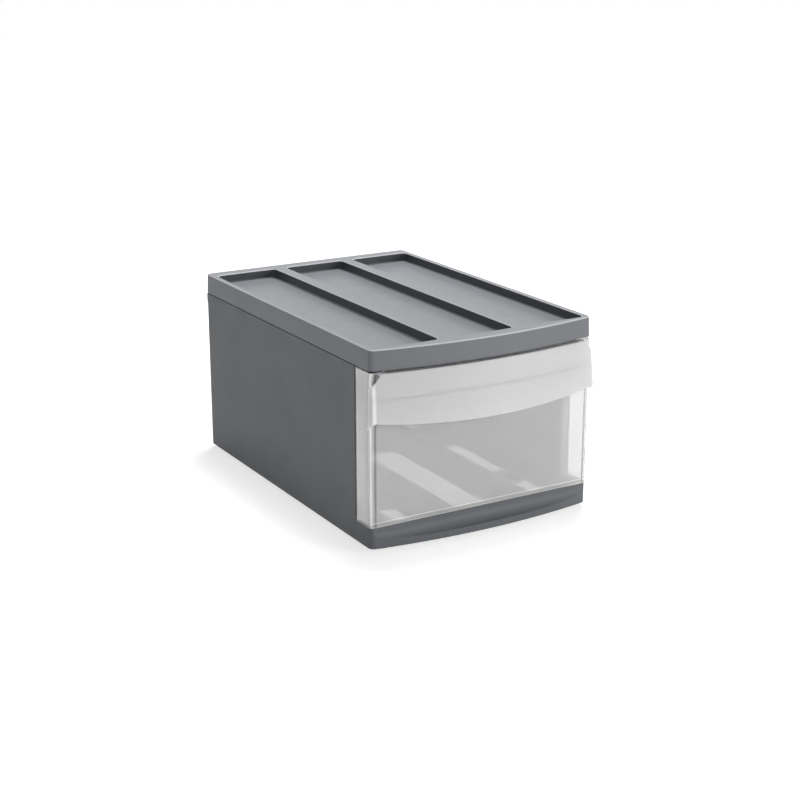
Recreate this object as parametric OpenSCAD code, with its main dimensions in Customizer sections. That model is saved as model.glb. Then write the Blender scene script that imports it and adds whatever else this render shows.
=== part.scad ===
// Stackable drawer box: a grey housing on four pads, a grey cover with three stacking troughs,
// and a clear drawer that slides out of the front by a frosted, bowed grip.
// Millimetres. +Z up, the front faces -Y, the origin is at the middle of the base.

/* [Housing] */
// Outside width of the housing
housing_w = 255; // [215:1:310]
// Depth of the housing, from its flat front plane to its back
housing_d = 372; // [310:1:450]
// Height of the whole box, pads included
box_h = 203; // [170:1:250]
// Wall thickness of the housing
wall = 2.5; // [2:0.1:3.2]
// Rounding of the upright corners
corner_r = 6.5; // [5:0.5:9]
// Height of the front rail above the lower edge of the housing
rail_h = 20.5; // [18:0.5:26]
// How far the front rail bulges forward at its middle
rail_bow = 11.5; // [7:0.5:15]
// Radius of the crescent scoop in the front rail
scoop_r = 10; // [7:0.5:12]
// Drop from the top of the rail to the axis of the scoop
scoop_drop = 3.5; // [2:0.5:5]
// Depth of the cut-outs at the front of both sides
cutout_d = 30.5; // [24:0.5:50]
// Rounding of the lower rear corner of the cut-outs
cutout_r = 8; // [4:0.5:12]
// Height of the raised floor above the lower edge of the housing
floor_h = 14; // [12:0.5:16]
// Thickness of the raised floor
floor_t = 2.2; // [1.6:0.1:3]
// Height of the bead around the top of the back
bead_h = 10; // [5:1:16]
// How far that bead stands proud
bead_out = 1.2; // [0.5:0.1:2]

/* [Floor windows] */
// Width of the two middle windows
middle_window_w = 37; // [20:1:38]
// Width of the four side windows
side_window_w = 18; // [10:1:24]
// Distance of the side windows from the middle of the box
side_window_x = 80; // [60:0.5:85]
// Distance of the first windows behind the front plane
window_start = 18; // [16:1:30]
// Length of the front middle window
middle_window_l = 186; // [120:1:200]
// Length of the short windows at the front
short_window_l = 36; // [12:1:44]
// Distance of the next side windows behind the front plane
side_window_start = 90; // [84:1:110]
// Length of these side windows
side_window_l = 98; // [40:1:110]
// Distance of the rear windows behind the front plane
rear_window_start = 256; // [240:1:280]
// Strip of floor left between the rear windows and the back
window_margin = 26; // [16:1:40]

/* [Cover] */
// Height of the band around the cover
cover_h = 20.5; // [18:0.5:28]
// Thickness of the cover
cover_t = 2.2; // [1.6:0.1:3]
// How far the front of the cover bulges forward at its middle
cover_bow = 13.5; // [8:0.5:16]
// How much the band leans in towards its top
cover_draft = 0.8; // [0:0.1:1.5]
// Depth of the stacking troughs
trough_depth = 10.5; // [6:0.5:12]
// Rim between a side of the cover and the nearest trough
side_rim = 6.5; // [5:0.5:10]
// Width of the ribs between the troughs
rib_w = 13.5; // [8:0.5:20]
// Rim between the front plane and the troughs
front_rim = 3.5; // [3:0.5:10]
// Rim between the back of the cover and the troughs
rear_rim = 16.5; // [8:0.5:24]
// Rounding of the trough corners, seen from above
trough_r = 6.5; // [4:0.5:12]
// Height of the tongue on the housing that the cover fits over
tongue_h = 6.5; // [4:0.5:8]
// Thickness of that tongue
tongue_t = 2; // [1.5:0.1:2.5]

/* [Drawer] */
// Wall thickness of the drawer
drawer_t = 2; // [1.5:0.1:2.8]
// Step from the wide front of the drawer in to its tub, on each side
drawer_step = 10.5; // [8:0.5:16]
// Distance of the drawer's stops behind the front plane. The drawer slides out until they meet.
stop_y = 54.2; // [40:0.1:90]
// Rounding of the upright corners of the drawer
drawer_r = 4; // [3.5:0.5:6]
// Rounding between the floor and the walls inside the drawer
drawer_fillet = 1.4; // [0.8:0.1:1.5]

/* [Grip] */
// Height of the grip at its middle, from its lower edge to the rim of the drawer
grip_h = 54.5; // [40:0.5:70]
// How much higher the lower edge of the grip is at its ends
grip_rise = 8; // [2:0.5:14]
// Wall thickness of the grip
grip_t = 2.2; // [1.6:0.1:3]
// How far the grip stands in front of the front plane at the top of its ends
grip_top_out = 3.4; // [3:0.2:6]
// How far it stands there at the bottom of its ends
grip_low_out = 9; // [7:0.2:13]
// How far the front of the grip bulges forward at its middle
grip_bow = 13; // [8:0.5:16]
// How much wider the grip is on each side at its lower edge
grip_side_out = 2.2; // [0:0.1:3]
// How far the upper corners of the grip are cut back from its sides
grip_cut_w = 11.5; // [4:0.5:20]
// How far down those cuts reach
grip_cut_h = 15; // [8:0.5:24]
// Drop from the rim of the drawer to the shelf that roofs the finger space
grip_shelf_drop = 24; // [16:0.5:36]

/* [Pads] */
// Height of the pads below the housing
pad_h = 5; // [3:0.5:7]
// Radius of the pads
pad_r = 11; // [8:0.5:14]
// Radius of the stem that plugs a pad into the housing
pad_stem_r = 4; // [3:0.25:5]

/* [Clearances] */
// Gap between parts that slide
slide_gap = 0.3; // [0.2:0.05:0.6]
// Gap around a part that is pressed or snapped in
snap_gap = 0.2; // [0.1:0.05:0.4]
// Gap between the drawer and the edges of the housing and cover around it
reveal = 0.8; // [0.5:0.1:2]
// Gap between the rim of the drawer and the cover
rim_gap = 2; // [1:0.1:4]
// Gap between the tub and the back of the housing
rear_gap = 4.5; // [3:0.5:8]
// Gap between the lugs of the drawer and the troughs above them
lug_gap = 2; // [1:0.1:3]

/* [Hidden] */
$fn = 96;

// Levels, from the ground up
skirt_z = pad_h;                              // lower edge of the housing
floor_z = skirt_z + floor_h;                  // top of the raised floor
sill_z = skirt_z + rail_h;                    // top of the front rail
scoop_z = sill_z - scoop_drop;                // axis of the crescent scoop
cover_z = box_h - cover_h;                    // lower edge of the cover
shoulder_z = cover_z - slide_gap;             // top edge of the housing walls
rim_z = cover_z - rim_gap;                    // rim of the drawer
drawer_z = sill_z + slide_gap;                // underside of the drawer
trough_z = box_h - trough_depth;              // floor of the troughs

// The box stands with the middle of its overall depth, grip included, on the origin
front_y = -(housing_d + bead_out - grip_bow - grip_low_out) / 2;

// Sizes of the drawer that follow from the housing
tub_w = housing_w - 2 * drawer_step;
tub_back = housing_d - wall - rear_gap;
front_back = cutout_d - slide_gap;

// Sizes of the grip that follow from the drawer
grip_hook_w = housing_w - 2 * (grip_cut_w + drawer_r);
grip_low_z = rim_z - grip_h;                  // lower edge at the middle

// Sizes of the troughs that follow from the cover
trough_w = floor((housing_w - 2 * side_rim - 2 * rib_w) * 10 / 3) / 10;
trough_d = housing_d - front_rim - rear_rim;
trough_pitch = trough_w + rib_w;

// Stops: a lug on the rear rim of the drawer meets a rib under the cover
stop_x = trough_pitch;
stop_w = 16;
stop_t = 2.5;
stop_lap = 5;                                 // how far lug and rib overlap in height
lug_z = trough_z - cover_t - lug_gap;         // top of the lugs
lug_y = tub_back - 8;                         // front of the lugs

// Pads stand in the corners of the outer troughs of a box below
pad_inset = 3;
pad_x = trough_pitch + trough_w / 2 - pad_inset - pad_r;
pad_front_y = front_rim + pad_inset + pad_r;
pad_rear_y = housing_d - rear_rim - pad_inset - pad_r;
pad_stem_h = floor_h - floor_t - 3;

eps = 0.01;
grey = [0.36, 0.37, 0.38];
clear = [0.86, 0.88, 0.88, 0.5];
frost = [0.80, 0.81, 0.82];
rubber = [0.16, 0.16, 0.17];

// ---------- Helpers ----------

// Radius of the circle that bulges by b over the width w
function bow_radius(w, b) = (w * w / 4 + b * b) / (2 * b);

// Centre of the corner circle, tangent to the side. It stands a hair proud of the bow, so that the
// two surfaces cross cleanly.
function corner_y(w, b, r) = b == 0 ? r
    : floor(100 * (bow_radius(w, b) - b
                   - sqrt(pow(bow_radius(w, b) - r, 2) - pow(w / 2 - r, 2))) - 1.5) / 100;

// Outline of a rounded rectangle with a bowed front, less inset
module outline(w, d, b, r, inset = 0) {
    kx = w / 2 - r;
    ky = corner_y(w, b, r);
    radius = bow_radius(w, b);
    meet_x = kx * radius / (radius - r);
    intersection() {
        translate([0, radius - b]) circle(radius - inset, $fn = 540);
        translate([-meet_x, -b]) square([2 * meet_x, b + ky + 1]);
    }
    for (x = [-kx, kx], y = [ky, d - r]) translate([x, y]) circle(r - inset);
    translate([inset - w / 2, ky]) square([w - 2 * inset, d - r - ky]);
    translate([-kx, ky]) square([2 * kx, d - ky - inset]);
}

// Block on such an outline, with an upright edge all round
module bowed_block(w, d, b, r, h, inset = 0) {
    linear_extrude(h) outline(w, d, b, r, inset);
}

// The same with its upper and lower edges rounded, leaning in by draft towards the top
module rounded_block(w, d, b, r, h, top_r, low_r, draft) {
    step = 30;
    hull() {
        for (a = [0:step:90]) {
            translate([0, 0, low_r * (1 - cos(a))])
                linear_extrude(eps) outline(w, d, b, r, low_r * (1 - sin(a)));
            translate([0, 0, h - eps - top_r * (1 - cos(a))])
                linear_extrude(eps) outline(w, d, b, r, draft + top_r * (1 - sin(a)));
        }
    }
}

// Places a cross-section round a rounded rectangle. The section's x runs outward from the outline
// and its y runs up.
module around(w, d, r) {
    kx = w / 2 - r;
    ky = d / 2 - r;
    translate([0, d / 2, 0]) {
        for (turn = [0:3]) {
            x = turn == 0 || turn == 3 ? kx : -kx;
            y = turn < 2 ? ky : -ky;
            translate([x, y, 0]) rotate([0, 0, 90 * turn])
                rotate_extrude(angle = 90) translate([r, 0]) children();
        }
        translate([w / 2, ky, 0]) rotate([90, 0, 0]) linear_extrude(2 * ky) children();
        translate([-w / 2, -ky, 0]) rotate([90, 0, 180]) linear_extrude(2 * ky) children();
        translate([-kx, d / 2, 0]) rotate([90, 0, 90]) linear_extrude(2 * kx) children();
        translate([kx, -d / 2, 0]) rotate([90, 0, -90]) linear_extrude(2 * kx) children();
    }
}

// Cross-section of a solid edge: from depth r inside the outline out to it, less inset
module edge(r, h, inset = 0, top_r = 0, low_r = 0) {
    polygon([[-r, low_r], [-inset, low_r], [-inset, h - top_r], [-r, h - top_r]]);
    if (top_r > 0) {
        translate([-r, h / 2]) square([r - inset - top_r, h / 2]);
        translate([-inset - top_r, h - top_r]) circle(top_r);
    }
    if (low_r > 0) {
        translate([-r, 0]) square([r - inset - low_r, h / 2]);
        translate([-inset - low_r, low_r]) circle(low_r);
    }
}

// Solid block on a plain rounded rectangle. The core overlaps the edges.
module block(w, d, r, h, inset = 0, top_r = 0, low_r = 0) {
    lap = 0.6 * (r - inset - max(top_r, low_r));
    translate([r - lap - w / 2, r - lap, 0])
        cube([w - 2 * r + 2 * lap, d - 2 * r + 2 * lap, h]);
    around(w, d, r) edge(r, h, inset, top_r, low_r);
}

// Hollow to be cut from a top face at z = 0: rounded over at the brim, filleted at the floor
module hollow(w, d, r, depth, brim_r, fillet_r) {
    module section() {
        difference() {
            translate([-r, -brim_r]) square([r + brim_r, brim_r + 1]);
            translate([brim_r, -brim_r]) circle(brim_r);
        }
        translate([-r, fillet_r - depth]) square([r, depth - fillet_r]);
        translate([-r, -depth]) square([r - fillet_r, depth]);
        translate([-fillet_r, fillet_r - depth]) intersection() {
            circle(fillet_r);
            translate([-fillet_r / 4, -fillet_r]) square(2 * fillet_r);
        }
    }
    lap = 0.6 * (r - fillet_r);
    translate([r - lap - w / 2, r - lap, -depth])
        cube([w - 2 * r + 2 * lap, d - 2 * r + 2 * lap, depth + 1]);
    around(w, d, r) section();
}

module both_sides() {
    for (side = [0, 1]) mirror([side, 0, 0]) children();
}

// Everything is laid out from the middle of the front plane
module from_front() {
    translate([0, front_y, 0]) children();
}

// ---------- Housing ----------

// Front rail, sides, back and raised floor in one moulding
module housing_body() {
    color(grey) from_front() difference() {
        union() {
            housing_shell();
            drawer_rails();
            pad_bosses();
            cover_tongue();
        }
        floor_windows();
        pad_bores();
    }
}

module housing_shell() {
    upper_h = shoulder_z - sill_z;
    groove = 0.8;                             // depth and height of the parting line
    difference() {
        union() {
            translate([0, 0, skirt_z])
                bowed_block(housing_w, housing_d, rail_bow, corner_r, rail_h);
            translate([0, 0, sill_z])
                block(housing_w, housing_d, corner_r, upper_h - groove);
            translate([0, 0, sill_z])
                block(housing_w, housing_d, corner_r, upper_h, inset = groove);
            rear_bead();
        }
        // space for the drawer
        translate([0, 0, floor_z])
            block(housing_w, housing_d, corner_r, box_h, inset = wall);
        rail_scoop();
        side_cutouts();
        underside();
    }
}

// Bead that stiffens the top of the back
module rear_bead() {
    below = 1;
    round_r = 0.6;
    intersection() {
        translate([0, bead_out, shoulder_z - below - bead_h])
            block(housing_w, housing_d, corner_r, bead_h, top_r = round_r, low_r = round_r);
        translate([-housing_w, housing_d - corner_r, 0]) cube([2 * housing_w, 2 * corner_r, box_h]);
    }
}

// Crescent that the hand meets below the drawer, or that crescent with a wall round it
module rail_scoop(skin = 0) {
    rotate([90, 0, 90]) linear_extrude(2 * housing_w, center = true) {
        translate([-scoop_r, scoop_z]) circle(scoop_r + skin);
        translate([-4 * scoop_r, scoop_z]) square([4 * scoop_r + skin, 2 * scoop_r]);
    }
}

// Openings that the wide front of the drawer closes
module side_cutouts() {
    rotate([90, 0, 90]) linear_extrude(2 * housing_w, center = true) {
        translate([-1, sill_z + cutout_r]) square([cutout_d + 1, box_h]);
        translate([-1, sill_z]) square([cutout_d + 1 - cutout_r, box_h]);
        translate([cutout_d - cutout_r, sill_z + cutout_r]) circle(cutout_r);
    }
}

// The base is open underneath, with the skirt, the ribs and the sill wall left standing
module underside() {
    hollow_h = floor_h - floor_t;
    rib_t = 1.8;
    lift = 2;                                 // the ribs end this far above the skirt's edge
    aside = 8;                                // and run this far in front of a window's start
    rib_x = (middle_window_w / 2 + side_window_x - side_window_w / 2 - rib_t) / 2;
    difference() {
        translate([0, 0, skirt_z - 1])
            bowed_block(housing_w, housing_d, rail_bow, corner_r, hollow_h + 1, inset = wall);
        rail_scoop(floor_t);
        translate([0, 0, skirt_z + lift]) {
            both_sides() translate([rib_x, 0, 0]) cube([rib_t, housing_d, hollow_h]);
            both_sides() translate([rib_x, side_window_start - aside, 0])
                cube([housing_w / 2, rib_t, hollow_h]);
            for (y = [2 * wall, rear_window_start - aside, housing_d - 2 * wall - rib_t])
                translate([-housing_w / 2, y, 0]) cube([housing_w, rib_t, hollow_h]);
        }
    }
}

// Two runners carry the drawer and two fins keep it straight
module drawer_rails() {
    runner_w = 3;
    runner_inset = 8;
    fin_t = 2;
    fin_h = 14;
    fin_gap = 1;
    sill_t = 3;
    run = housing_d - cutout_d - wall;
    both_sides() {
        translate([tub_w / 2 - runner_inset - runner_w, wall, floor_z - 1])
            cube([runner_w, housing_d - 2 * wall + 1, sill_z - floor_z + 1]);
        translate([tub_w / 2 + fin_gap, cutout_d, floor_z - 1]) cube([fin_t, run, fin_h]);
    }
    // the sill behind the rail, flush with the runners
    translate([-housing_w / 2 + wall - 1, wall - 1, floor_z - 1])
        cube([housing_w - 2 * wall + 2, sill_t, sill_z - floor_z + 1]);
}

// Upstand inside the top edge that the cover fits over
module cover_tongue() {
    out = wall + snap_gap;
    below = 8;
    translate([0, 0, shoulder_z - below]) intersection() {
        around(housing_w, housing_d, corner_r) {
            translate([-out - tongue_t, 0]) square([tongue_t, below + tongue_h]);
            polygon([[-wall, -2], [-wall, below - 1], [-out - tongue_t, below - 1],
                     [-out - tongue_t, 1]]);
        }
        translate([-housing_w, cutout_d, -5]) cube([2 * housing_w, housing_d, 40]);
    }
}

module floor_windows() {
    rear_l = housing_d - window_margin - rear_window_start;
    window(0, middle_window_w, window_start, middle_window_l);
    window(0, middle_window_w, rear_window_start, rear_l);
    both_sides() {
        window(side_window_x, side_window_w, window_start, short_window_l);
        window(side_window_x, side_window_w, side_window_start, side_window_l);
        window(side_window_x, side_window_w, rear_window_start, rear_l);
    }
}

module window(x, w, y, l) {
    window_r = 1.5;
    translate([x, y, floor_z - floor_t - 1]) block(w, l, window_r, floor_t + 2);
}

// Bosses under the floor that the pads plug into
module pad_bosses() {
    each_pad() translate([0, 0, skirt_z])
        cylinder(r = pad_r + 1, h = floor_h - floor_t + eps);
}

// Each bore ends a millimetre above the stem in it
module pad_bores() {
    each_pad() translate([0, 0, skirt_z - 1])
        cylinder(r = pad_stem_r + snap_gap / 2, h = pad_stem_h + 2);
}

module each_pad() {
    for (x = [-pad_x, pad_x], y = [pad_front_y, pad_rear_y]) translate([x, y, 0]) children();
}

// ---------- Cover ----------

// Band with a bowed front, a flat top and three troughs pressed into it
module top_cover() {
    color(grey) from_front() difference() {
        union() {
            translate([0, 0, cover_z]) difference() {
                rounded_block(housing_w, housing_d, cover_bow, corner_r, cover_h,
                              top_r = 1.2, low_r = 0.5, draft = cover_draft);
                translate([0, 0, -1])
                    bowed_block(housing_w, housing_d, cover_bow, corner_r,
                                cover_h - cover_t + 1, inset = wall);
            }
            each_trough() trough_shell();
            cover_ribs();
            drawer_stops();
        }
        each_trough() trough();
    }
}

module each_trough() {
    for (i = [-1, 0, 1]) translate([i * trough_pitch, front_rim, box_h]) children();
}

// The rounding of the brim starts a hair above the top, so that it isn't tangent to it
module trough() {
    lift = 0.05;
    translate([0, 0, lift]) hollow(trough_w, trough_d, trough_r, trough_depth + lift, 1.2, 2.5);
}

module trough_shell() {
    translate([0, -cover_t / 2, -trough_depth - cover_t])
        block(trough_w + cover_t, trough_d + cover_t, trough_r, trough_depth + cover_t / 2);
}

// Ribs under the front overhang, from the band back to the troughs
module cover_ribs() {
    rib_t = 1.6;
    lift = 3;                                 // the ribs end this far above the band's edge
    end_inset = 20;
    intersection() {
        union() for (x = [-1, -0.5, 0, 0.5, 1] * (housing_w / 2 - end_inset))
            translate([x - rib_t / 2, -cover_bow, cover_z + lift])
                cube([rib_t, cover_bow + front_rim + 1, cover_h - lift - 1]);
        translate([0, 0, cover_z])
            bowed_block(housing_w, housing_d, cover_bow, corner_r, cover_h - 1, inset = wall / 2);
    }
}

// Ribs under the outer troughs that the lugs of the drawer run up against
module drawer_stops() {
    stop_h = trough_z - cover_t / 2 - lug_z + stop_lap;
    gusset_t = 2;
    gusset_d = 10;
    gusset_up = 3;
    for (x = [-stop_x, stop_x]) {
        translate([x - stop_w / 2, stop_y, lug_z - stop_lap]) cube([stop_w, stop_t, stop_h]);
        translate([x - gusset_t / 2, stop_y - gusset_d, lug_z - stop_lap + gusset_up])
            cube([gusset_t, gusset_d + 1, stop_h - gusset_up]);
    }
}

// ---------- Drawer ----------

// Wide flat front that wraps round into the cut-outs, stepping in to the tub behind
module drawer() {
    h = rim_z - drawer_z;
    foot_r = 0.6;                             // rounding of the outer lower edges
    brim_r = 0.4;                             // rounding of the inner upper edges
    tub_front = front_back / 2;               // the two blocks overlap from here
    inner_y = 2.5 * drawer_t;                 // and their hollows from here
    flange_w = housing_w - 2 * (wall + snap_gap + tongue_t + reveal);
    flange_out = 1.2;
    lug_foot = 12;
    color(clear) from_front() difference() {
        union() {
            translate([0, 0, drawer_z]) intersection() {
                block(housing_w, front_back, drawer_r, h, low_r = foot_r);
                front_side_view(h);
            }
            translate([0, tub_front, drawer_z])
                block(tub_w, tub_back - tub_front, drawer_r, h, low_r = foot_r);
            translate([0, tub_front, rim_z - drawer_t])
                block(flange_w, tub_back - tub_front + flange_out, drawer_r, drawer_t);
            for (x = [-stop_x, stop_x]) translate([x - stop_w / 2, lug_y, rim_z - lug_foot])
                cube([stop_w, tub_back - lug_y, lug_z - rim_z + lug_foot]);
        }
        translate([0, drawer_t, rim_z])
            hollow(housing_w - 2 * drawer_t, front_back - 2 * drawer_t, drawer_r - drawer_t,
                   h - drawer_t, brim_r, drawer_fillet);
        translate([0, inner_y, rim_z])
            hollow(tub_w - 2 * drawer_t, tub_back - inner_y - drawer_t, drawer_r - drawer_t,
                   h - drawer_t, brim_r, drawer_fillet);
        lug_relief();
        grip_seat();
    }
}

// Side view of the wide front, rounded at the back of its foot to fit the cut-outs
module front_side_view(h) {
    foot_r = cutout_r - slide_gap;
    rotate([90, 0, 90]) linear_extrude(2 * housing_w, center = true) {
        translate([-1, foot_r]) square([front_back + 1, h]);
        translate([-1, 0]) square([front_back + 1 - foot_r, h]);
        translate([front_back - foot_r, foot_r]) circle(foot_r);
    }
}

// Hollows the lugs out to a wall of their own
module lug_relief() {
    for (x = [-stop_x, stop_x])
        translate([x - stop_w / 2 + 2, lug_y + stop_t, rim_z])
            cube([stop_w - 4, tub_back, lug_z]);
}

// The top of the front wall is lowered to take the grip's flange
module grip_seat() {
    translate([-grip_hook_w / 2 - snap_gap, -1, rim_z - grip_t - snap_gap])
        cube([grip_hook_w + 2 * snap_gap, drawer_t + 1.1, grip_t + 2]);
}

// ---------- Grip ----------

// Outline of the grip at one height, t = 0 at its rim and 1 at its lower edge, less inset
module grip_plan(t, inset) {
    out = grip_top_out + t * (grip_low_out - grip_top_out);
    w = housing_w + 2 * t * grip_side_out;
    r = corner_r + 2 * t;
    d = 60;
    back = 1.2;                               // the ends reach this far behind the front plane
    radius = bow_radius(w, grip_bow);
    ky = corner_y(w, grip_bow, r);
    intersection() {
        translate([0, -out]) union() {
            intersection() {
                translate([0, radius - grip_bow]) circle(radius - inset, $fn = 480);
                translate([-w / 2 + r, -grip_bow]) square([w - 2 * r, d]);
            }
            for (x = [-1, 1] * (w / 2 - r)) translate([x, ky]) circle(r - inset, $fn = 64);
            translate([-w / 2 + inset, ky]) square([w - 2 * inset, d]);
        }
        translate([-w, back - d]) square([2 * w, d]);
    }
}

// Flared solid between the rim and the lower edge
module grip_form(inset, top_z) {
    hull() {
        translate([0, 0, top_z - eps]) linear_extrude(eps) grip_plan(0, inset);
        translate([0, 0, grip_low_z]) linear_extrude(eps) grip_plan(1, inset);
    }
}

// Bowed and flared wall with a shelf over the finger space and a hook over the drawer's front
module drawer_grip() {
    color(frost) from_front() {
        difference() {
            intersection() {
                grip_form(0, rim_z);
                grip_outline();
            }
            difference() {
                grip_form(grip_t, rim_z);
                // the wall is left solid at its top and at the shelf
                for (drop = [0, grip_shelf_drop])
                    translate([-housing_w, -housing_w, rim_z - drop - grip_t])
                        cube([2 * housing_w, 2 * housing_w, drop == 0 ? 2 * grip_t : grip_t]);
            }
            grip_back_trim();
        }
        grip_hook();
    }
}

// Front view: the upper corners are cut back, the lower edge dips towards the middle, and the ends
// reach down behind it
module grip_outline() {
    radius = bow_radius(housing_w, grip_rise);
    end_x = housing_w / 2 + grip_side_out;
    cut_x = housing_w / 2 - grip_cut_w;
    cut_z = rim_z - grip_cut_h;
    soft_w = 2.4;                             // width and height of the chamfer below a cut
    soft_h = 5;
    intersection() {
        union() {
            rotate([90, 0, 0]) linear_extrude(housing_w, center = true) difference() {
                translate([-housing_w, grip_low_z]) square([2 * housing_w, grip_h]);
                difference() {
                    translate([-housing_w, grip_low_z - grip_h])
                        square([2 * housing_w, grip_h + 1.5 * grip_rise]);
                    translate([0, grip_low_z + radius]) circle(radius, $fn = 720);
                }
            }
            both_sides() grip_ear();
        }
        rotate([90, 0, 0]) linear_extrude(housing_w, center = true)
            for (side = [-1, 1]) polygon([
                [-side, grip_low_z - 1], [side * (end_x + 1), grip_low_z - 1],
                [side * (end_x + 1), cut_z + 1 - soft_h], [side * end_x, cut_z + 1 - soft_h],
                [side * (end_x - soft_w), cut_z + 1], [side * cut_x, rim_z + 1],
                [-side, rim_z + 1]]);
    }
}

// Web that closes an end of the finger space and reaches below the lower edge
module grip_ear() {
    ear_lap = 12;
    low = grip_low_z + grip_rise;
    rotate([90, 0, 90]) translate([0, 0, housing_w / 2 - grip_t - snap_gap])
        linear_extrude(4 * grip_t) polygon([
            [1 - grip_low_out, low], [grip_t, grip_low_z], [grip_t, low + ear_lap],
            [1 - grip_low_out, low + ear_lap]]);
}

// Clears the front wall and the rounded corners of the drawer
module grip_back_trim() {
    translate([0, -snap_gap / 2, grip_low_z - 1])
        block(housing_w + snap_gap, grip_h, drawer_r, grip_h + 2);
}

// Flange over the lowered front wall, turned down behind it
module grip_hook() {
    hook_t = 1.6;
    hook_h = 12;
    behind = drawer_t + snap_gap / 2;
    translate([-grip_hook_w / 2, -grip_top_out / 2, rim_z - grip_t])
        cube([grip_hook_w, grip_top_out / 2 + behind + hook_t, grip_t]);
    translate([-grip_hook_w / 2, behind, rim_z - hook_h])
        cube([grip_hook_w, hook_t, hook_h]);
}

// ---------- Pads ----------

// Soft foot with a rounded tread and a stem
module pad(x, y) {
    tread_r = 1.2;
    color(rubber) from_front() translate([x, y, 0]) {
        rotate_extrude() difference() {
            square([pad_r, pad_h]);
            translate([pad_r - tread_r, 0]) difference() {
                translate([0, -1]) square([tread_r + 1, tread_r + 1]);
                translate([0, tread_r]) circle(tread_r);
            }
        }
        translate([0, 0, pad_h - eps])
            cylinder(r = pad_stem_r, h = pad_stem_h + eps);
    }
}

module pad_front_left() { pad(-pad_x, pad_front_y); }
module pad_front_right() { pad(pad_x, pad_front_y); }
module pad_rear_left() { pad(-pad_x, pad_rear_y); }
module pad_rear_right() { pad(pad_x, pad_rear_y); }

housing_body();
top_cover();
drawer();
drawer_grip();
pad_front_left();
pad_front_right();
pad_rear_left();
pad_rear_right();
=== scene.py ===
from math import radians

import bpy
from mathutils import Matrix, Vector


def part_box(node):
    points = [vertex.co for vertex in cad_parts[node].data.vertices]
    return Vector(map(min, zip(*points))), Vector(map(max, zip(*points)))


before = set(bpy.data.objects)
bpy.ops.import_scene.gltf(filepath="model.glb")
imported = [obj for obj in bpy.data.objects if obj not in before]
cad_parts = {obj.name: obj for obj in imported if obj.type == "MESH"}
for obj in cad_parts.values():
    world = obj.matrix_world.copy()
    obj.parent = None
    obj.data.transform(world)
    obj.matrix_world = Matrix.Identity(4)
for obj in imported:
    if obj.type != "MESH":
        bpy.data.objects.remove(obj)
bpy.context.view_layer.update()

# Studio
# A pale floor, a soft white surround and three soft lamps: one overhead, a key at the right of the
# front and a low fill at its left. The camera stands at the left of the front, a little above the box.
looks_down = 17.371
looks_right = 30.567

scene = bpy.context.scene
scene.view_settings.view_transform = "Standard"
lens = bpy.data.cameras.new("camera")
lens.sensor_width = 36.0
lens.lens = 71.655
camera = bpy.data.objects.new("camera", lens)
camera.location = (-0.8223, -1.4069, 0.5979)
camera.rotation_euler = (radians(90.0 - looks_down), 0.0, radians(-looks_right))
scene.collection.objects.link(camera)
scene.camera = camera


def soft_lamp(name, place, aim, size, watts):
    """A square lamp at one place, turned towards another."""
    lamp = bpy.data.lights.new(name, "AREA")
    lamp.size = size
    lamp.energy = watts
    obj = bpy.data.objects.new(name, lamp)
    obj.location = place
    obj.rotation_euler = (Vector(aim) - Vector(place)).to_track_quat("-Z", "Y").to_euler()
    scene.collection.objects.link(obj)


soft_lamp("overhead lamp", place=(0.3, 0.3, 1.8), aim=(0.0, 0.0, 0.2), size=0.6, watts=37.0)
soft_lamp("key lamp", place=(1.2, -1.8, 0.6), aim=(0.0, 0.0, 0.1), size=1.0, watts=27.0)
soft_lamp("low fill lamp", place=(-1.2, -0.9, 0.1), aim=(-0.1, -0.1, 0.0), size=0.5, watts=5.0)


def feed(tree, socket, value):
    """Sets an input to a number, or links an output to it."""
    if isinstance(value, float):
        socket.default_value = value
    else:
        tree.links.new(value, socket)


def combine(tree, operation, first, *others):
    """Masks or values taken together, one after the other, by one operation."""
    for other in others:
        math = tree.nodes.new("ShaderNodeMath")
        math.operation = operation
        feed(tree, math.inputs[0], first)
        feed(tree, math.inputs[1], other)
        first = math.outputs[0]
    return first


def slope(tree, value, none, full, low=0.0, high=1.0):
    """Low where the value is at none, high where it is at full, and between them in between."""
    ramp = tree.nodes.new("ShaderNodeMapRange")
    for name, number in (("From Min", none), ("From Max", full), ("To Min", low), ("To Max", high)):
        ramp.inputs[name].default_value = number
    tree.links.new(value, ramp.inputs["Value"])
    return ramp.outputs["Result"]


def seen_directly(tree):
    """1 for rays that show the surround: from the camera, in gloss, or through clear plastic."""
    rays = tree.nodes.new("ShaderNodeLightPath").outputs
    return combine(tree, "MAXIMUM", rays["Is Camera Ray"], rays["Is Glossy Ray"],
                   rays["Is Transmission Ray"])


surround_light = 0.15     # on the box; what is seen directly has the full 1.0
world = bpy.data.worlds.new("white surround")
world.use_nodes = True
scene.world = world
tree = world.node_tree
white = tree.nodes["Background"]
white.inputs["Color"].default_value = (1.0, 1.0, 1.0, 1.0)
strength = slope(tree, seen_directly(tree), none=0.0, full=1.0, low=surround_light)
tree.links.new(strength, white.inputs["Strength"])

reach = 6.0
floor_mesh = bpy.data.meshes.new("floor")
floor_mesh.from_pydata(
    [(-reach, -reach, 0.0), (reach, -reach, 0.0), (reach, reach, 0.0), (-reach, reach, 0.0)],
    [], [(0, 1, 2, 3)])
floor = bpy.data.objects.new("floor", floor_mesh)
scene.collection.objects.link(floor)

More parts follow.
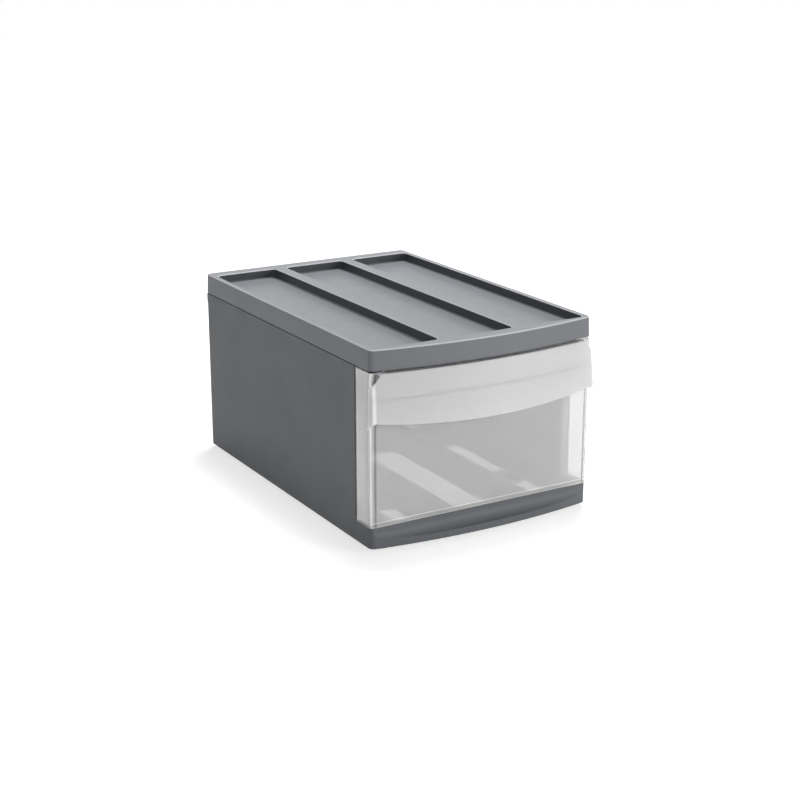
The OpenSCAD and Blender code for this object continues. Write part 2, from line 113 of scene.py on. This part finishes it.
# the paper glows by itself: less around the box, and up to white further away
dim_within = 0.3
white_beyond = 1.2
glow_at_box = 0.7
paper = bpy.data.materials.new("pale floor")
paper.use_nodes = True
tree = paper.node_tree
paper_skin = tree.nodes["Principled BSDF"]
paper_skin.inputs["Base Color"].default_value = (0.53, 0.53, 0.53, 1.0)
paper_skin.inputs["Roughness"].default_value = 0.9
paper_skin.inputs["Specular IOR Level"].default_value = 0.1
paper_skin.inputs["Emission Color"].default_value = (1.0, 1.0, 1.0, 1.0)
from_box = tree.nodes.new("ShaderNodeVectorMath")
from_box.operation = "LENGTH"
tree.links.new(tree.nodes.new("ShaderNodeTexCoord").outputs["Object"], from_box.inputs[0])
glow = slope(tree, from_box.outputs["Value"], none=dim_within, full=white_beyond, low=glow_at_box)
tree.links.new(combine(tree, "MULTIPLY", seen_directly(tree), glow),
               paper_skin.inputs["Emission Strength"])
floor.data.materials.append(paper)

# Housing
# The body of the box, one injection moulding in grey polypropylene. A fine spark-eroded texture breaks
# up its gloss, and slow clouds lie in its tint where the melt cooled unevenly.
def noise(tree, place, scale, detail, roughness=0.5, distortion=0.0):
    """A pattern of noise over the piece, as an output."""
    pattern = tree.nodes.new("ShaderNodeTexNoise")
    pattern.inputs["Detail"].default_value = detail
    pattern.inputs["Roughness"].default_value = roughness
    pattern.inputs["Distortion"].default_value = distortion
    feed(tree, pattern.inputs["Scale"], scale)
    tree.links.new(place, pattern.inputs["Vector"])
    return pattern.outputs["Fac"]


def moulded_plastic_group():
    """Grain, clouding and handling marks of a moulded plastic, for the materials to use."""
    group = bpy.data.node_groups.new("moulded plastic", "ShaderNodeTree")
    face = group.interface
    face.new_socket("Tint", in_out="INPUT", socket_type="NodeSocketColor")
    for name, value in (("Grain Size", 0.0008), ("Clouding", 0.05), ("Roughness", 0.45)):
        face.new_socket(name, in_out="INPUT", socket_type="NodeSocketFloat").default_value = value
    face.new_socket("Color", in_out="OUTPUT", socket_type="NodeSocketColor")
    face.new_socket("Roughness", in_out="OUTPUT", socket_type="NodeSocketFloat")
    face.new_socket("Height", in_out="OUTPUT", socket_type="NodeSocketFloat")
    given = group.nodes.new("NodeGroupInput").outputs
    made = group.nodes.new("NodeGroupOutput").inputs
    place = group.nodes.new("ShaderNodeTexCoord").outputs["Object"]

    # the grain of the mould
    fineness = combine(group, "DIVIDE", 1.0, given["Grain Size"])
    grain = noise(group, place, scale=fineness, detail=3.0, roughness=0.65)
    group.links.new(grain, made["Height"])

    # clouds that make the tint a little darker or paler
    cloud = noise(group, place, scale=9.0, detail=4.0)
    swing = combine(group, "SUBTRACT", cloud, 0.5)
    share = combine(group, "ADD", combine(group, "MULTIPLY", swing, given["Clouding"]), 1.0)
    tinted = group.nodes.new("ShaderNodeVectorMath")
    tinted.operation = "SCALE"
    group.links.new(given["Tint"], tinted.inputs[0])
    group.links.new(share, tinted.inputs["Scale"])
    group.links.new(tinted.outputs["Vector"], made["Color"])

    # handling marks make the finish a little smoother or duller in patches
    marks = noise(group, place, scale=28.0, detail=6.0, distortion=0.6)
    spread = slope(group, marks, none=0.3, full=0.7, low=-0.04, high=0.04)
    group.links.new(combine(group, "ADD", given["Roughness"], spread), made["Roughness"])
    return group


moulded_plastic = moulded_plastic_group()
grain_height = 0.0002


def plastic(name, tint, roughness, grain_size, bump, clouding=0.05):
    """A material with the moulded-plastic group on a Principled shader. Returns it and its shader."""
    material = bpy.data.materials.new(name)
    material.use_nodes = True
    nodes, links = material.node_tree.nodes, material.node_tree.links
    skin = nodes["Principled BSDF"]
    look = nodes.new("ShaderNodeGroup")
    look.node_tree = moulded_plastic
    look.inputs["Tint"].default_value = (*tint, 1.0)
    look.inputs["Roughness"].default_value = roughness
    look.inputs["Grain Size"].default_value = grain_size
    look.inputs["Clouding"].default_value = clouding
    links.new(look.outputs["Color"], skin.inputs["Base Color"])
    links.new(look.outputs["Roughness"], skin.inputs["Roughness"])
    texture = nodes.new("ShaderNodeBump")
    texture.inputs["Strength"].default_value = bump
    texture.inputs["Distance"].default_value = grain_height
    links.new(look.outputs["Height"], texture.inputs["Height"])
    links.new(texture.outputs["Normal"], skin.inputs["Normal"])
    return material, skin


def finish_node(node, material):
    """Puts a material on a node of the frame."""
    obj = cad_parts[node]
    if not obj.material_slots:
        obj.data.materials.append(material)
    for slot in obj.material_slots:
        slot.material = material


dull_gloss = 0.2
housing_grey, housing_skin = plastic(
    "housing plastic", tint=(0.139, 0.146, 0.156), roughness=0.5, grain_size=0.0007, bump=0.35)
housing_skin.inputs["Specular IOR Level"].default_value = dull_gloss
finish_node("housing_body", housing_grey)

# Pads
# Four soft feet, moulded in black rubber and pushed into bosses under the corners of the housing. In a
# stack they stand in the outer troughs of the box below.
pad_rubber, _ = plastic(
    "pad rubber", tint=(0.05, 0.05, 0.053), roughness=0.8, grain_size=0.0012, bump=0.6, clouding=0.2)
for corner in ("front_left", "front_right", "rear_left", "rear_right"):
    finish_node("pad_" + corner, pad_rubber)

# Top cover
# The lid with its three troughs: a second moulding in the same grey, pressed over a tongue on the
# housing. Its top is a little smoother. The walls of the troughs are painted darker as shade, and the
# rounded edges at the very top are painted pale as a highlight.
def surface_axes(tree):
    """Where a point of the surface lies and which way it faces, along the piece's own three axes."""
    own = tree.nodes.new("ShaderNodeTexCoord")
    found = []
    for kind in ("Object", "Normal"):
        axes = tree.nodes.new("ShaderNodeSeparateXYZ")
        tree.links.new(own.outputs[kind], axes.inputs["Vector"])
        found.append(axes.outputs)
    return found


def between(tree, value, low, high, fade):
    """1 from low to high and 0 outside, with a fade to both sides of each limit."""
    return combine(tree, "MULTIPLY", slope(tree, value, low - fade, low + fade),
                   slope(tree, value, high + fade, high - fade))


def recolour(tree, skin, mask, marked):
    """Gives the shader another base colour where the mask is 1."""
    mix = tree.nodes.new("ShaderNodeMix")
    mix.data_type = "RGBA"
    tree.links.new(mask, mix.inputs["Factor"])
    tree.links.new(skin.inputs["Base Color"].links[0].from_socket, mix.inputs["A"])
    mix.inputs["B"].default_value = marked
    tree.links.new(mix.outputs["Result"], skin.inputs["Base Color"])


cover_grey, cover_skin = plastic(
    "cover plastic", tint=(0.183, 0.190, 0.204), roughness=0.36, grain_size=0.0008, bump=0.22)
cover_skin.inputs["Specular IOR Level"].default_value = dull_gloss
tree = cover_grey.node_tree
place, facing = surface_axes(tree)
cover_low, cover_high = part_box("top_cover")

# painted shade: the trough walls are what is steep within these rims, from the bend at their foot
# upwards
side_rim = 0.0045
front_rim = 0.0166
rear_rim = 0.0109
wall_height = 0.0098
wall_fade = 0.0005
wall_foot = cover_high.z - wall_height
painted_trough_shade = combine(
    tree, "MULTIPLY",
    slope(tree, place["Z"], none=wall_foot - wall_fade, full=wall_foot + wall_fade),
    slope(tree, facing["Z"], none=0.8, full=0.5),
    between(tree, place["X"], cover_low.x + side_rim, cover_high.x - side_rim, wall_fade),
    between(tree, place["Y"], cover_low.y + front_rim, cover_high.y - rear_rim, wall_fade))
recolour(tree, cover_skin, painted_trough_shade, (0.085, 0.089, 0.096, 1.0))

# painted highlight: the rounded edges at the very top, which face neither straight up nor sideways
edge_height = 0.0015
edge_fade = 0.0003
edge_foot = cover_high.z - edge_height
painted_edge_highlight = combine(
    tree, "MULTIPLY",
    slope(tree, place["Z"], none=edge_foot - edge_fade, full=edge_foot + edge_fade),
    slope(tree, facing["Z"], none=0.995, full=0.95), slope(tree, facing["Z"], none=0.1, full=0.3))
recolour(tree, cover_skin, painted_edge_highlight, (0.46, 0.47, 0.49, 1.0))
finish_node("top_cover", cover_grey)

# Drawer
# A deep tray with a wide front that slides on runners in the housing: one moulding in clear
# polypropylene with a milky haze, polished outside. Its edges glow with a painted highlight. Its front
# is painted with a dark shade line where each side wall stands behind it end on, and with two glowing
# highlight lines where the floor does.
def edge_group():
    """1 on the sharp and rounded edges of a boxy piece, 0 on its faces."""
    group = bpy.data.node_groups.new("moulded edges", "ShaderNodeTree")
    face = group.interface
    width = face.new_socket("Width", in_out="INPUT", socket_type="NodeSocketFloat")
    width.default_value = 0.001
    face.new_socket("Edge", in_out="OUTPUT", socket_type="NodeSocketFloat")
    given = group.nodes.new("NodeGroupInput").outputs
    made = group.nodes.new("NodeGroupOutput").inputs
    normal = group.nodes.new("ShaderNodeNewGeometry").outputs["Normal"]

    # a sharp edge: the normal differs from its softened self
    softened = group.nodes.new("ShaderNodeBevel")
    softened.samples = 6
    group.links.new(given["Width"], softened.inputs["Radius"])
    match = group.nodes.new("ShaderNodeVectorMath")
    match.operation = "DOT_PRODUCT"
    group.links.new(softened.outputs["Normal"], match.inputs[0])
    group.links.new(normal, match.inputs[1])
    sharp = slope(group, match.outputs["Value"], none=0.995, full=0.85)

    # a rounded edge: the normal points along none of the three axes
    size = group.nodes.new("ShaderNodeVectorMath")
    size.operation = "ABSOLUTE"
    group.links.new(normal, size.inputs[0])
    parts = group.nodes.new("ShaderNodeSeparateXYZ")
    group.links.new(size.outputs["Vector"], parts.inputs["Vector"])
    most = combine(group, "MAXIMUM", *(parts.outputs[axis] for axis in "XYZ"))
    rounded = slope(group, most, none=0.93, full=0.75)

    group.links.new(combine(group, "MAXIMUM", sharp, rounded), made["Edge"])
    return group


moulded_edges = edge_group()


def edge_mask(tree, width):
    """Adds the edge mask to a material and returns its output."""
    edges = tree.nodes.new("ShaderNodeGroup")
    edges.node_tree = moulded_edges
    edges.inputs["Width"].default_value = width
    return edges.outputs["Edge"]


def paint_glow(tree, skin, mask, strength):
    """Paints a glow on the masked parts: a painted highlight for the light that the clear plastic leads
    to them.
    """
    glow = tree.nodes.new("ShaderNodeMix")
    glow.data_type = "RGBA"
    tree.links.new(mask, glow.inputs["Factor"])
    glow.inputs["A"].default_value = (0.0, 0.0, 0.0, 1.0)
    glow.inputs["B"].default_value = (1.0, 1.0, 1.0, 1.0)
    tree.links.new(glow.outputs["Result"], skin.inputs["Emission Color"])
    skin.inputs["Emission Strength"].default_value = strength


def strip(tree, value, middle, reach):
    """1 within a reach of a middle, 0 outside."""
    inside = tree.nodes.new("ShaderNodeMath")
    inside.operation = "COMPARE"
    tree.links.new(value, inside.inputs[0])
    inside.inputs[1].default_value = middle
    inside.inputs[2].default_value = reach
    return inside.outputs[0]


clear_index = 1.49
edge_width = 0.0009
drawer_clear, drawer_skin = plastic(
    "drawer plastic", tint=(0.99, 0.99, 0.985), roughness=0.03, grain_size=0.004, bump=0.0,
    clouding=0.0)
drawer_skin.inputs["Transmission Weight"].default_value = 0.73
drawer_skin.inputs["IOR"].default_value = clear_index
tree = drawer_clear.node_tree
place, facing = surface_axes(tree)
drawer_low, drawer_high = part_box("drawer")

# the flat front face, which shows the walls and the floor behind it end on
front_face = combine(tree, "MULTIPLY", strip(tree, facing["Y"], middle=-1.0, reach=0.05),
                     strip(tree, place["Y"], middle=drawer_low.y, reach=0.0005))

# painted shade: the dark line at each side lies just inside the rounded corner
side_line_inset = 0.0053
side_line_x = drawer_high.x - side_line_inset
side_lines = combine(tree, "ADD", *(strip(tree, place["X"], middle=x, reach=0.0012)
                                    for x in (-side_line_x, side_line_x)))
side_painted_shade = combine(tree, "MULTIPLY", front_face, side_lines)
recolour(tree, drawer_skin, side_painted_shade, (0.4, 0.4, 0.4, 1.0))

# painted highlights: the two glowing lines lie at these heights above the underside
floor_line_heights = (0.0012, 0.0053)
floor_lines = combine(tree, "ADD", *(strip(tree, place["Z"], middle=drawer_low.z + height, reach=0.0004)
                                     for height in floor_line_heights))
floor_painted_highlight = combine(tree, "MULTIPLY", front_face, floor_lines)
# painted highlight: the edges and the floor lines glow
painted_highlights = combine(tree, "MAXIMUM", edge_mask(tree, edge_width), floor_painted_highlight)
paint_glow(tree, drawer_skin, painted_highlights, strength=0.18)
finish_node("drawer", drawer_clear)

# Grip
# The bowed pull across the top of the drawer, hooked over the drawer's front wall. It is moulded in the
# same plastic as the drawer and frosted by a coarse texture in the mould.
grip_frosted, grip_skin = plastic(
    "frosted grip", tint=(0.85, 0.85, 0.85), roughness=0.38, grain_size=0.001, bump=0.25)
grip_skin.inputs["Transmission Weight"].default_value = 0.48
grip_skin.inputs["IOR"].default_value = clear_index
tree = grip_frosted.node_tree
# painted highlight: the grip's edges glow
paint_glow(tree, grip_skin, edge_mask(tree, edge_width), strength=0.2)
finish_node("drawer_grip", grip_frosted)
